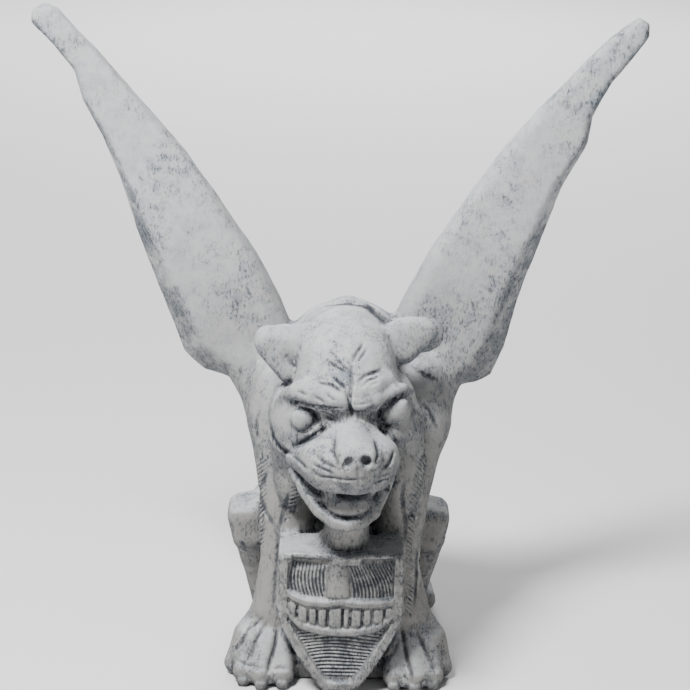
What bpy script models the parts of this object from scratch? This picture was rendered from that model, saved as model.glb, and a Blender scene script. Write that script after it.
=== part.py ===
"""A crouching winged gargoyle behind its shield, cast in stone in one piece.

Run with: blender --background --python part.py
The beast faces -Y, its right-hand side as seen from the front is +X, and it stands on Z = 0.
"""

from math import atan2, cos, pi, radians, sin

import bmesh
import bpy
from mathutils import Euler, Matrix, Vector

# Driving sizes, in metres
FIGURE_HEIGHT = 0.685          # ground to the tips of the wings
SHIELD_WIDTH = 0.130
SHIELD_HEIGHT = 0.152
SHIELD_THICKNESS = 0.055       # the ledge on top of the shield is this deep
RIM_WIDTH = 0.009              # the raised border round the shield
RIM_RELIEF = 0.005             # how far border, lips, nose and teeth stand out of the panel
LIP_WIDTH = 0.0065
NOSE_WIDTH = 0.024             # the mask's nose, where it is widest
WING_ROOT_THICKNESS = 0.050
WING_TIP_THICKNESS = 0.019
EYEBALL_RADIUS = 0.0130
CLAW_WIDTH = 0.0125
FUSING_GRAIN = 0.0045          # size of the cells in which the masses melt into one skin
CARVED_GRAIN = 0.0036          # the same once the hollows are cut
SKIN_TRIANGLES = 7800          # what the facets of the fused skin are thinned to

# The pose and the carving are shares of the figure's height: one share is a 685th of it
SHARE = FIGURE_HEIGHT / 685

SIDES = (-1, 1)                # the viewer's left and right
BALL_RINGS = 12
EYE_RINGS = 8
LIMB_SIDES = 14
STONE_COLOUR = (0.62, 0.63, 0.64, 1.0)
STONE_ROUGHNESS = 0.88

# The head sits forward of the chest, turned a little to +X and tipped up on that side
HEAD_PLACE = (5, -105, 300)
HEAD_TURN = 5
HEAD_TIP = -3


def shares(*values):
    """A place given in shares of the height, in metres."""
    return Vector(values) * SHARE


def head_frame():
    """From the head's own frame, whose origin is between the ears at brow height, to the figure's."""
    turn = Matrix.Rotation(radians(HEAD_TURN), 4, "Z") @ Matrix.Rotation(radians(HEAD_TIP), 4, "Y")
    return Matrix.Translation(shares(*HEAD_PLACE)) @ turn


def ball(bm, centre, radii, tilt=(0, 0, 0), frame=Matrix(), rings=BALL_RINGS):
    """A stretched ball. Its centre and radii are in shares, and its tilt in degrees about X, Y and Z."""
    turn = Euler([radians(a) for a in tilt]).to_matrix().to_4x4()
    place = frame @ Matrix.Translation(shares(*centre)) @ turn @ Matrix.Diagonal((*shares(*radii), 1))
    bmesh.ops.create_uvsphere(bm, u_segments=2 * rings, v_segments=rings, radius=1, matrix=place)


def taper(bm, start, end, start_radius, end_radius):
    """A cone with both ends cut off, between two places in metres."""
    along = end - start
    turn = along.to_track_quat("Z", "Y").to_matrix().to_4x4()
    bmesh.ops.create_cone(
        bm,
        cap_ends=True,
        segments=LIMB_SIDES,
        radius1=start_radius,
        radius2=end_radius,
        depth=along.length,
        matrix=Matrix.Translation((start + end) / 2) @ turn,
    )


def limb(bm, stops, frame=Matrix()):
    """A chain of balls joined by tapers. Each stop is x, y, z and a radius, in shares."""
    places = [(frame @ shares(*stop[:3]), stop[3] * SHARE) for stop in stops]
    for place, radius in places:
        bmesh.ops.create_uvsphere(
            bm, u_segments=LIMB_SIDES, v_segments=BALL_RINGS, radius=radius, matrix=Matrix.Translation(place)
        )
    for (start, start_radius), (end, end_radius) in zip(places, places[1:]):
        taper(bm, start, end, start_radius, end_radius)


def loft(bm, sections):
    """A skin over sections of equal numbers of points, closed by a flat face at each end."""
    rings = [[bm.verts.new(point) for point in section] for section in sections]
    for ring, following in zip(rings, rings[1:]):
        for k in range(len(ring)):
            after = (k + 1) % len(ring)
            bm.faces.new((ring[k], ring[after], following[after], following[k]))
    faces = [bm.faces.new(rings[0][::-1]), bm.faces.new(rings[-1])]
    bmesh.ops.recalc_face_normals(bm, faces=list({f for ring in rings for v in ring for f in v.link_faces} | set(faces)))


def block(bm, centre, halves, tilt=(0, 0, 0), corner=0.0):
    """A block with its edges cut by corner. All sizes are in shares, and the tilt in degrees."""
    turn = Euler([radians(a) for a in tilt]).to_matrix().to_4x4()
    place = Matrix.Translation(shares(*centre)) @ turn @ Matrix.Diagonal((*(2 * shares(*halves)), 1))
    made = bmesh.ops.create_cube(bm, size=1, matrix=place)
    if corner:
        edges = list({e for v in made["verts"] for e in v.link_edges})
        bmesh.ops.bevel(bm, geom=edges, offset=corner * SHARE, segments=2, profile=0.5, affect="EDGES")


def torso(bm):
    """Chest, hunched back, rump, shoulders, the throat under the jaw and the low mass it all sits on."""
    ball(bm, (4, 8, 205), (80, 66, 108))
    ball(bm, (4, 34, 290), (76, 56, 86))
    ball(bm, (5, -22, 312), (60, 52, 68))
    ball(bm, (0, 78, 98), (84, 76, 94))
    ball(bm, (0, 60, 190), (74, 64, 100))
    for side in SIDES:
        ball(bm, (8 + side * 66, 0, 262), (45, 54, 66))
        limb(bm, [(6 + side * 84, 18, 262, 26), (4 + side * 102, 36, 300, 30)])
    limb(bm, [(11, -150, 214, 20), (7, -126, 160, 25), (4, -80, 120, 38)])
    ball(bm, (2, -22, 62), (56, 66, 76))
    block(bm, (2, -30, 8), (62, 96, 18), corner=8)
    block(bm, (0, 66, 8), (78, 70, 18), corner=8)


def mane_ridge(bm):
    """The raised collar that arches behind the skull, and the crest that runs down the spine from it."""
    arch = [(4 + 50 * cos(a), -24 - 4 * sin(a), 338 + 45 * sin(a), 10) for a in (pi * k / 8 for k in range(9))]
    limb(bm, arch)
    limb(bm, [(4, 40, 360, 16), (3, 80, 316, 15), (2, 104, 258, 14), (1, 128, 190, 13), (0, 148, 120, 12)])


def front_leg(bm, side):
    """Upper arm, forearm and wrist, with the long muscle that bulges beside the jaw."""
    limb(
        bm,
        [
            (8 + side * 68, -24, 256, 38),
            (4 + side * 59, -54, 190, 33),
            (1 + side * 58, -80, 118, 26),
            (3 + side * 68, -92, 66, 27),
        ],
    )
    ball(bm, (6 + side * 58, -84, 226), (19, 24, 46), tilt=(-8, 0, 0))


# Each toe of a forepaw: how far out its knuckle and tip lie, how far forward the tip is, and its radius
TOES = ((62, 59, -143, 11.0), (78, 81, -147, 11.5), (92, 101, -138, 11.0), (101, 114, -116, 10.0))


def forepaw(bm, side):
    """A broad pad with four toes that fan out over its front."""
    ball(bm, (4 + side * 80, -84, 32), (30, 32, 30))
    for knuckle, tip, front, radius in TOES:
        limb(
            bm,
            [
                (4 + side * (knuckle * 0.4 + 44), -86, 58, 0.8 * radius),
                (3 + side * knuckle, 0.62 * front - 28, 39, radius),
                (2 + side * tip, front, 10, 0.95 * radius),
            ],
        )


def hind_leg(bm, side):
    """A bent hind leg: a heavy thigh, a squared knee that stands out sideways, a shin and a flat foot."""
    limb(bm, [(side * 54, 86, 102, 58), (side * 84, 30, 122, 29)])
    block(bm, (side * 97 - 1, 6, 130), (23, 32, 25), tilt=(0, side * 8, 0), corner=10)
    limb(bm, [(side * 93, 8, 112, 24), (side * 86, 20, 66, 19), (side * 76, 34, 24, 21)])
    limb(bm, [(side * 75, 40, 15, 19), (side * 70, -14, 14, 17)])


def tail(bm):
    """A tail that comes round from the rump and lies along the ground on the +X side."""
    turns = (-100, -70, -42, -16, 6)
    stops = [(96 * cos(radians(-a)) * 1.02, 64 + 96 * sin(radians(-a)), 17, 14) for a in turns]
    limb(bm, [(0, 140, 60, 20)] + stops)


# A wing's edges, measured from its axis: distance along the axis, inner edge and outer edge, in shares
WING_STATIONS = {
    -1: (
        (-12, -40, 20),
        (4, -50, 40),
        (20, -55, 55),
        (48, -59, 64),
        (106, -62, 53),
        (190, -56, 39),
        (243, -51, 26),
        (297, -41, 18),
        (340, -33, 16),
        (372, -27, 7),
        (410, -18, 13),
        (438, -12, 20),
        (449, -4, 13),
    ),
    1: (
        (-8, -40, 32),
        (8, -54, 55),
        (24, -61, 65),
        (60, -65, 61),
        (110, -67, 45),
        (186, -63, 30),
        (242, -58, 19),
        (296, -49, 18),
        (325, -42, 6),
        (366, -34, 4),
        (400, -25, 9),
        (426, -15, 12),
        (439, -9, 5),
    ),
}
WING_ROOT = {-1: (-95, 40, 300), 1: (95, 40, 300)}
WING_TIP = {-1: (-318, 52, 675), 1: (310, 52, 675)}
WING_LENGTH = 436


def wing_section(inner, outer, thickness, bevel):
    """A slab's section as pairs of across and forward: a round inner edge and a wide bevel at the outer one."""
    half = thickness / 2
    width = outer - inner
    return (
        (inner, -0.45 * half),
        (inner, 0.45 * half),
        (inner + 0.10 * width, 0.95 * half),
        (inner + 0.45 * width, 1.08 * half),
        (outer - bevel, half),
        (outer, -0.25 * half),
        (outer - 0.06 * width, -0.85 * half),
        (inner + 0.50 * width, -1.08 * half),
        (inner + 0.10 * width, -0.95 * half),
    )


def wing(bm, side):
    """A thick plain wing that rises from the shoulder and narrows to a blunt hooked tip."""
    root = shares(*WING_ROOT[side])
    tip = shares(*WING_TIP[side])
    along = (tip - root).normalized()
    forward = Vector((0, -1, 0))
    forward = (forward - forward.dot(along) * along).normalized()
    across = along.cross(forward) * side
    sections = []
    for distance, inner, outer in WING_STATIONS[side]:
        share = min(1.0, max(0.0, distance) / WING_LENGTH)
        thickness = WING_ROOT_THICKNESS + (WING_TIP_THICKNESS - WING_ROOT_THICKNESS) * share
        bevel = 30 * SHARE * (1 - share) ** 1.6
        centre = root + along * distance * SHARE
        points = wing_section(inner * SHARE, outer * SHARE, thickness, bevel)
        sections.append([centre + across * a + forward * n for a, n in points])
    loft(bm, sections)


def ear(bm, side, frame):
    """A short round ear that stands out sideways: the one at +X is a folded leaf, the other a blunt stub."""
    if side < 0:
        limb(bm, [(-42, 34, 52, 22), (-66, 32, 58, 18), (-85, 30, 65, 13)], frame)
        limb(bm, [(-74, 28, 54, 12), (-56, 22, 36, 13)], frame)
    else:
        ball(bm, (68, 34, 60), (38, 13, 22), tilt=(0, -24, 0), frame=frame)
        limb(bm, [(44, 34, 46, 17), (66, 30, 46, 13)], frame)


def head(bm):
    """Sloping skull, heavy brows, cheekbones, muzzle, nose and upper lip, in the head's own frame."""
    frame = head_frame()
    ball(bm, (2, 12, 46), (51, 80, 44), tilt=(30, 0, 0), frame=frame)
    ball(bm, (0, 30, 0), (62, 62, 62), frame=frame)
    ball(bm, (0, -22, 14), (62, 40, 40), frame=frame)
    limb(bm, [(-56, -26, 33, 13), (-32, -50, 33, 15), (-7, -60, 25, 13)], frame)
    limb(bm, [(54, -26, 42, 13), (32, -50, 37, 15), (7, -60, 26, 13)], frame)
    limb(bm, [(-62, -14, -24, 15), (-52, -42, -22, 13), (-34, -62, -14, 12)], frame)
    limb(bm, [(60, -14, -20, 14), (50, -42, -18, 12), (34, -62, -10, 12)], frame)
    for side in SIDES:
        ball(bm, (side * 60, 24, -28), (22, 34, 50), frame=frame)
    ball(bm, (0, -58, -4), (23, 44, 22), tilt=(18, 0, 0), frame=frame)
    ball(bm, (-2, -76, -20), (33, 38, 20), tilt=(14, 0, 0), frame=frame)
    ball(bm, (-33, -70, -32), (25, 28, 17), frame=frame)
    ball(bm, (23, -72, -32), (23, 26, 18), frame=frame)
    ball(bm, (-3, -60, -34), (50, 44, 18), frame=frame)
    ball(bm, (0, -104, -14), (21, 16, 13), tilt=(-10, 0, 0), frame=frame)
    lip = [(-60, -50, -44, 8), (-50, -76, -42, 8), (-28, -92, -46, 9)]
    limb(bm, lip + [(-2, -100, -47, 9), (24, -88, -48, 9), (39, -66, -47, 8), (46, -46, -52, 8)], frame)
    ear(bm, -1, frame)
    ear(bm, 1, frame)


def jaw(bm):
    """The hanging lower jaw: a round rim from one corner of the mouth to the other, a floor and a tongue."""
    frame = head_frame()
    rim = [(-58, -44, -50, 8), (-53, -60, -70, 8), (-40, -77, -86, 8), (-8, -90, -95, 8.5)]
    rim += [(22, -78, -91, 8), (38, -60, -78, 8), (46, -44, -56, 8)]
    limb(bm, rim, frame)
    ball(bm, (-6, -46, -84), (42, 42, 17), tilt=(12, 0, 0), frame=frame)
    ball(bm, (-7, -60, -76), (36, 28, 15), tilt=(14, 0, 0), frame=frame)
    ball(bm, (0, -20, -70), (44, 36, 40), frame=frame)


def hollows(bm):
    """What is cut away: eye sockets, nostrils, the open mouth and the hollows beside the throat."""
    frame = head_frame()
    ball(bm, (-44, -62, 2), (20, 15, 10), tilt=(0, 8, 0), frame=frame)
    ball(bm, (40, -62, 5), (20, 15, 10), tilt=(0, -24, 0), frame=frame)
    ball(bm, (-10, -120, -21), (6, 9, 5), frame=frame)
    ball(bm, (10, -120, -20), (6, 9, 5), frame=frame)
    ball(bm, (-40, -72, -59), (17, 32, 9), tilt=(0, 38, 0), frame=frame)
    ball(bm, (-2, -88, -60), (23, 46, 7), frame=frame)
    ball(bm, (34, -68, -63), (5, 24, 7), tilt=(0, -30, 0), frame=frame)
    for side in SIDES:
        ball(bm, (6 + side * 34, -118, 184), (10, 30, 20), tilt=(0, side * 14, 0))
        for (_, near, front, _), (_, far, other, _) in zip(TOES, TOES[1:]):
            cleft = (2 + side * (near + far) / 2, (front + other) / 2 + 6, 24)
            ball(bm, cleft, (4.2, 24, 19), tilt=(38, 0, 0))
        eye = shield_place(side * 0.27 * SHIELD_WIDTH, 0.86 * SHIELD_HEIGHT, 0) / SHARE
        ball(bm, eye, (0.14 * SHIELD_WIDTH / SHARE, 15, 0.06 * SHIELD_HEIGHT / SHARE))


def outline_point(share):
    """A place on the shield's outline, for share 0 to 1 from the top corner down to the blunt tip.

    Returns how far out it is, as a share of half the width, and how far up, as a share of the height."""
    up = 1.0 - share
    if up > SHIELD_SHOULDER:
        return 1.0, up
    return SHIELD_TIP + (1 - SHIELD_TIP) * (up / SHIELD_SHOULDER) ** 0.8, up


def shield_outline(inset, steps=12):
    """The heater outline, from the top +X corner down round the tip and up, inset towards the middle, in metres."""
    down = [outline_point(k / steps) for k in range(steps + 1)]
    half = SHIELD_WIDTH / 2 - inset
    height = SHIELD_HEIGHT - 2 * inset
    right = [(half * x, inset + height * z) for x, z in down]
    return right + [(-x, z) for x, z in reversed(right)]


SHIELD_SHOULDER = 0.50         # the sides run straight above this share of the height
SHIELD_TIP = 0.24              # half-width of the blunt tip, as a share of the shield's
SHIELD_FRONT = -152            # where the shield's face is, in shares from the middle of the figure
SHIELD_BULGE = 7               # how far its middle stands forward of its edges
SHIELD_MIDDLE = 3
SHIELD_FOOT = 4


def shield_place(x, z, raised):
    """A place on the shield's bowed face, raised above the panel, all in metres."""
    bow = SHIELD_BULGE * SHARE * (1 - (2 * x / SHIELD_WIDTH) ** 2)
    front = SHIELD_FRONT * SHARE - bow - raised
    return Vector((SHIELD_MIDDLE * SHARE + x, front, SHIELD_FOOT * SHARE + z))


def shield_slab(bm):
    """The body of the shield, a thick heater with a bowed face."""
    outline = shield_outline(0)
    front = [shield_place(x, z, 0) for x, z in outline]
    back = [Vector((p.x, (SHIELD_FRONT * SHARE) + SHIELD_THICKNESS, p.z)) for p in front]
    loft(bm, [front, back])


def raised_band(bm, path, widths, relief):
    """A ridge with a flat top along a path of x and z on the shield, with its width at each point, in metres."""
    sections = []
    for k, ((x, z), width) in enumerate(zip(path, widths)):
        x0, z0 = path[max(0, k - 1)]
        x1, z1 = path[min(len(path) - 1, k + 1)]
        away = atan2(z1 - z0, x1 - x0) + pi / 2
        across = Vector((cos(away), sin(away))) * width / 2
        low = -3 * RIM_RELIEF
        ends = ((-1.15, low), (-0.85, relief), (0.85, relief), (1.15, low))
        sections.append([shield_place(x + across.x * s, z + across.y * s, r) for s, r in ends])
    loft(bm, sections)


def shield_rim(bm):
    """The raised border: the band between the outline and the same outline inset by its width."""
    outer = shield_outline(0.0004)
    inner = shield_outline(RIM_WIDTH)
    low, high = -3 * RIM_RELIEF, RIM_RELIEF
    rings = [(outer, low), (outer, high), (inner, high), (inner, low)]
    loops = [[bm.verts.new(shield_place(x, z, r)) for x, z in ring] for ring, r in rings]
    faces = []
    for loop, following in zip(loops, loops[1:] + loops[:1]):
        for k in range(len(loop)):
            after = (k + 1) % len(loop)
            faces.append(bm.faces.new((loop[k], following[k], following[after], loop[after])))
    bmesh.ops.recalc_face_normals(bm, faces=faces)


TEETH = 9


def shield_mask(bm):
    """The grinning mask on the panel: a long nose, two lips that bow down and a row of square teeth."""
    wide = SHIELD_WIDTH / 2 - RIM_WIDTH
    steps = 8
    across = [-0.98 * wide + 1.96 * wide * k / steps for k in range(steps + 1)]
    lip_drop = 0.10 * SHIELD_HEIGHT
    upper = [(x, 0.635 * SHIELD_HEIGHT + 0.35 * lip_drop * (x / wide) ** 2) for x in across]
    lower = [(0.97 * x, 0.425 * SHIELD_HEIGHT + lip_drop * (x / wide) ** 2) for x in across]
    lip_widths = [LIP_WIDTH] * len(across)
    raised_band(bm, upper, lip_widths, RIM_RELIEF)
    raised_band(bm, lower, lip_widths, RIM_RELIEF)
    nose = [(0, 0.97 * SHIELD_HEIGHT), (0, 0.80 * SHIELD_HEIGHT), (0, 0.64 * SHIELD_HEIGHT)]
    raised_band(bm, nose, (0.3 * NOSE_WIDTH, 0.65 * NOSE_WIDTH, NOSE_WIDTH), RIM_RELIEF)
    for k in range(TEETH):
        share = (k + 0.5) / TEETH * 2 - 1
        x = 0.93 * wide * share
        top = 0.625 * SHIELD_HEIGHT + 0.35 * lip_drop * share**2
        bottom = 0.435 * SHIELD_HEIGHT + lip_drop * share**2
        tooth_width = 1.62 * wide / TEETH
        raised_band(bm, [(x, bottom), (x, top)], (tooth_width, tooth_width), 0.7 * RIM_RELIEF)


def eyeballs(bm):
    """Two smooth blank eyeballs seated in the sockets."""
    frame = head_frame()
    radius = EYEBALL_RADIUS / SHARE
    ball(bm, (-46, -44, 2), (radius, radius, 0.85 * radius), frame=frame, rings=EYE_RINGS)
    ball(bm, (42, -46, 4), (1.2 * radius, radius, 0.8 * radius), tilt=(0, -38, 0), frame=frame, rings=EYE_RINGS)


def claws(bm):
    """A short square claw at the tip of each toe."""
    half = CLAW_WIDTH / SHARE / 2
    for side in SIDES:
        for _, tip, front, _ in TOES[:3]:
            block(bm, (2 + side * tip, front - 6, 9), (half, 7, 4.5), tilt=(24, 0, 0), corner=2.4)


def solid(name, *makers):
    """One object that holds the bodies which the makers add, not yet fused."""
    bm = bmesh.new()
    for maker in makers:
        maker(bm)
    mesh = bpy.data.meshes.new(name)
    bm.to_mesh(mesh)
    bm.free()
    made = bpy.data.objects.new(name, mesh)
    bpy.context.scene.collection.objects.link(made)
    return made


def both(maker):
    """A maker that works on each side in turn."""

    def made(bm):
        for side in SIDES:
            maker(bm, side)

    return made


def melt(made, grain, smoothing):
    """Fuses overlapping bodies into one even skin and softens the joins."""
    remesh = made.modifiers.new("Fuse", "REMESH")
    remesh.mode = "VOXEL"
    remesh.voxel_size = grain
    smooth = made.modifiers.new("Soften", "SMOOTH")
    smooth.factor = 0.5
    smooth.iterations = smoothing


def join(made, other, operation, crossing=False):
    """Cuts the other body out of this one, or joins it on, and hides the other as a guide.

    Crossing says that the other holds bodies that overlap each other."""
    cut = made.modifiers.new(other.name, "BOOLEAN")
    cut.operation = operation
    cut.object = other
    cut.solver = "EXACT"
    cut.use_self = crossing
    other.hide_render = True
    other.display_type = "WIRE"


def settled(made):
    """Replaces an object's mesh and modifiers by the mesh that they give."""
    graph = bpy.context.evaluated_depsgraph_get()
    mesh = bpy.data.meshes.new_from_object(made.evaluated_get(graph))
    made.modifiers.clear()
    made.data = mesh
    return mesh


def stone():
    """The pale weathered finish of the cast."""
    material = bpy.data.materials.new("cast_stone")
    material.use_nodes = True
    shader = material.node_tree.nodes["Principled BSDF"]
    shader.inputs["Base Color"].default_value = STONE_COLOUR
    shader.inputs["Roughness"].default_value = STONE_ROUGHNESS
    shader.inputs["Metallic"].default_value = 0.0
    material.diffuse_color = STONE_COLOUR
    return material


def main():
    for old in list(bpy.data.objects):
        bpy.data.objects.remove(old)

    gargoyle = solid(
        "gargoyle",
        torso,
        mane_ridge,
        both(front_leg),
        both(forepaw),
        both(hind_leg),
        tail,
        both(wing),
        head,
        jaw,
        shield_slab,
    )
    melt(gargoyle, FUSING_GRAIN, 5)
    cutters = solid("hollows", hollows)
    melt(cutters, CARVED_GRAIN, 1)
    join(gargoyle, cutters, "DIFFERENCE")
    melt(gargoyle, CARVED_GRAIN, 2)
    fused = settled(gargoyle)

    thin = gargoyle.modifiers.new("Facets", "DECIMATE")
    thin.ratio = SKIN_TRIANGLES / sum(len(face.vertices) - 2 for face in fused.polygons)
    thin.use_collapse_triangulate = True
    join(gargoyle, solid("relief", shield_rim, shield_mask, eyeballs, claws), "UNION", crossing=True)
    ground = solid("ground", lambda bm: block(bm, (0, 0, -60), (400, 400, 60)))
    join(gargoyle, ground, "DIFFERENCE")
    gargoyle.data.materials.append(stone())


main()
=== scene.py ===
"""A winged gargoyle in pale cast stone, crouched behind its carved shield, and a plain studio round it.

The stone is one closed surface. It is worked out as a field: a number at each place in space that says
how far the place is from the stone, below zero inside it. The field is built like a clay figure, from
named masses that run into each other, and then carved. Lengths in it are in millimetres of a figure 685
mm high."""

from itertools import product
from math import cos, pi, radians, sin

import bpy
import numpy as np
from bpy.props import FloatProperty, FloatVectorProperty, PointerProperty
from mathutils import Matrix, Vector


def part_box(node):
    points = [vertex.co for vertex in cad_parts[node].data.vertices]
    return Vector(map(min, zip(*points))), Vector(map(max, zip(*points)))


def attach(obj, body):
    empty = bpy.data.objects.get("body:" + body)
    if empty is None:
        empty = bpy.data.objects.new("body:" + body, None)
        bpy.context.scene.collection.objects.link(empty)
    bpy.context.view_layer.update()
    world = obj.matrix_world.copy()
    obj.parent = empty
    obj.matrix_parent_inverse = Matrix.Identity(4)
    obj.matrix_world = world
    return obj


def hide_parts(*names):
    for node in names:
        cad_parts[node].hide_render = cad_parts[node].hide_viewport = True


bl_info = {
    "name": "Cast stone gargoyle",
    "version": (1, 0, 0),
    "blender": (4, 5, 0),
    "location": "View3D > Sidebar > Gargoyle",
    "description": "Models a winged gargoyle in weathered cast stone and sets up a plain studio for it",
    "category": "Add Mesh",
}

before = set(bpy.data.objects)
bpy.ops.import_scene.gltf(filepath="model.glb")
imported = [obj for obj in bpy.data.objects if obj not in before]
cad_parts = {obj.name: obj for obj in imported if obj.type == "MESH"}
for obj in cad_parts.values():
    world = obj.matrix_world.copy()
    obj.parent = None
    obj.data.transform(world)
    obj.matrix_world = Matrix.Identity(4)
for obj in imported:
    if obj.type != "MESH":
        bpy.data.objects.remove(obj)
CAD_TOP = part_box("gargoyle")[1].z
FULL_HEIGHT = 685.0            # the height in the field's own millimetres
FIELD_BOX = (np.array((-345.0, -232.3, -9.7)), np.array((327.0, 181.0, 696.0)))   # where the field is read
FAR = 1.0e3                    # stands for "nowhere near"
REACH = 16.0                   # beyond this a mass isn't felt
SIDES = (-1, 1)                # the viewer's left and right
SPLITS = 3                     # how often long edges are split
CAMERA_PITCH = radians(17)     # how far the camera looks down
GROUND_SOFTNESS = 0.6          # how round the stone's edge is at the ground


class Clay:
    """A heap of masses that run into each other.

    Its distance at a place is the smooth smallest of the distances of its masses: the plain smallest, less a
    quarter of the blend times the square of how nearly the two tie."""

    def __init__(self, frame_turn=None, frame_place=(0, 0, 0)):
        self.turn = np.eye(3) if frame_turn is None else frame_turn
        self.place = np.array(frame_place, float)
        self.masses = []

    def add(self, distance, low, high, blend):
        """Adds a mass by its distance function and the box that holds it, both in the clay's own frame."""
        corners = np.array(list(product(*zip(low, high)))) @ self.turn.T + self.place
        self.masses.append((distance, corners.min(0) - REACH, corners.max(0) + REACH, blend))

    def local(self, points):
        """Places in the figure's frame, given in the clay's own frame."""
        return (points - self.place.astype(points.dtype)) @ self.turn.astype(points.dtype)

    def ball(self, centre, radii, tilt=(0, 0, 0), blend=10.0):
        """A stretched ball. With n the length of the place over the radii, and m its length over their
        squares, the distance is n (n - 1) / m."""
        turn = turning(*tilt).astype(np.float32)
        middle, radii = np.array(centre, np.float32), np.array(radii, np.float32)

        def distance(p):
            q = (p - middle) @ turn
            n = np.linalg.norm(q / radii, axis=1)
            m = np.linalg.norm(q / radii**2, axis=1)
            return n * (n - 1) / np.maximum(m, 1e-6)

        size = np.sqrt((turn**2) @ (radii**2))
        self.add(distance, middle - size, middle + size, blend)

    def limb(self, stops, blend=10.0):
        """A chain of round tapers. Each stop is x, y, z and a radius. The distance from one taper is that
        to the nearest place on its axis, less the radius there, which changes evenly from stop to stop."""
        stops = np.array(stops, np.float32)

        def distance(p):
            nearest = np.full(len(p), FAR, np.float32)
            for start, end in zip(stops, stops[1:]):
                along = end[:3] - start[:3]
                share = np.clip(((p - start[:3]) @ along) / (along @ along), 0, 1)
                away = np.linalg.norm(p - start[:3] - share[:, None] * along, axis=1)
                nearest = np.minimum(nearest, away - (start[3] + (end[3] - start[3]) * share))
            return nearest

        thick = stops[:, 3:].max()
        self.add(distance, stops[:, :3].min(0) - thick, stops[:, :3].max(0) + thick, blend)

    def block(self, centre, halves, tilt=(0, 0, 0), corner=4.0, blend=10.0):
        """A block with round edges. The distance is that of a smaller block, less the radius of the edges."""
        turn = turning(*tilt).astype(np.float32)
        middle, halves = np.array(centre, np.float32), np.array(halves, np.float32)

        def distance(p):
            q = np.abs((p - middle) @ turn) - (halves - corner)
            return np.linalg.norm(np.maximum(q, 0), axis=1) + np.minimum(q.max(1), 0) - corner

        size = np.abs(turn) @ halves
        self.add(distance, middle - size, middle + size, blend)

    def felt(self, points):
        """For each mass that any place feels: the numbers of those places, their distances and the blend."""
        for distance, low, high, blend in self.masses:
            near = np.flatnonzero(((points > low) & (points < high)).all(1))
            if len(near):
                yield near, distance(self.local(points[near])), blend

    def distance(self, points, start=None):
        """The distance from all the masses, on top of what start already holds."""
        found = np.full(len(points), FAR, np.float32) if start is None else start.copy()
        for near, away, blend in self.felt(points):
            found[near] = smooth_min(found[near], away, blend)
        return found

    def carve(self, points, start, softness=3.0):
        """Takes these masses out of what start holds: the smooth largest of start and each distance
        turned round, which is the smooth smallest of minus start and the distance, turned round."""
        found = start.copy()
        for near, away, _ in self.felt(points):
            found[near] = -smooth_min(-found[near], away, softness)
        return found


def smooth_min(a, b, blend):
    """The smaller of two distances, less blend / 4 times the square of (blend - their gap) / blend, where
    the gap is under the blend."""
    tie = np.maximum(blend - np.abs(a - b), 0) / blend
    return np.minimum(a, b) - tie * tie * (blend * 0.25)


def turning(about_x, about_y, about_z):
    """The matrix that turns by three angles in degrees, about X, then Y, then Z."""
    turn = Matrix.Rotation(radians(about_z), 3, "Z") @ Matrix.Rotation(radians(about_y), 3, "Y")
    return np.array(turn @ Matrix.Rotation(radians(about_x), 3, "X"))


def ease(values, low, high):
    """0 below low, 1 above high, and 3 t squared less 2 t cubed between them."""
    t = np.clip((values - low) / (high - low), 0, 1)
    return t * t * (3 - 2 * t)


def torso_masses(clay):
    """Chest, hunched back, rump, shoulders, the throat under the jaw and the low mass it all sits on."""
    clay.ball((4, 8, 205), (80, 66, 108), blend=20)
    clay.ball((4, 34, 290), (76, 56, 86), blend=20)
    clay.ball((5, -22, 312), (60, 52, 68), blend=16)
    clay.ball((0, 78, 98), (84, 76, 94), blend=20)
    clay.ball((0, 60, 190), (74, 64, 100), blend=20)
    for side in SIDES:
        clay.ball((8 + side * 66, 0, 262), (45, 54, 66), blend=14)
        clay.limb([(6 + side * 84, 18, 262, 26), (4 + side * 102, 36, 300, 30)], blend=14)
    clay.limb([(11, -150, 214, 20), (7, -126, 160, 25), (4, -80, 120, 38)], blend=7)
    clay.limb([(70, -88, 282, 17), (66, -86, 236, 20), (62, -80, 180, 20), (60, -82, 130, 20)], blend=12)
    clay.ball((2, -22, 62), (56, 66, 76), blend=12)
    clay.block((2, -30, 8), (62, 96, 18), corner=8, blend=8)
    clay.block((0, 66, 8), (78, 70, 18), corner=8, blend=8)
    clay.ball((8, 122, 26), (44, 30, 32), blend=10)


def leg_masses(clay, toes):
    """Forelegs with their paws, and hind legs with squared knees."""
    for side in SIDES:
        stops = [(8 + side * 68, -24, 256, 38), (4 + side * 59, -54, 190, 33)]
        clay.limb(stops + [(1 + side * 58, -80, 118, 26), (3 + side * 68, -92, 66, 27)], blend=12)
        clay.ball((6 + side * 58, -84, 226), (19, 24, 46), tilt=(-8, 0, 0), blend=6 if side < 0 else 12)
        clay.limb([(side * 54, 86, 102, 58), (side * 84, 30, 122, 29)], blend=10)
        clay.block((side * 96 - 1, 6, 129), (23, 32, 25), tilt=(0, side * 13, 0), corner=12, blend=7)
        clay.limb([(side * 93, 8, 112, 24), (side * 86, 20, 66, 19), (side * 76, 34, 24, 21)], blend=8)
        clay.limb([(side * 75, 40, 15, 19), (side * 70, -14, 14, 17)], blend=8)
        clay.ball((4 + side * 80, -90, 30), (32, 34, 30), blend=6)
        for knuckle, tip, front, radius in toes:
            root = (4 + side * (knuckle * 0.4 + 44), -86, 58, 0.8 * radius)
            bend = (3 + side * knuckle, 0.62 * front - 28, 39, radius)
            clay.limb([root, bend, (2 + side * tip, front, 12, 0.92 * radius)], blend=11)


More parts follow.
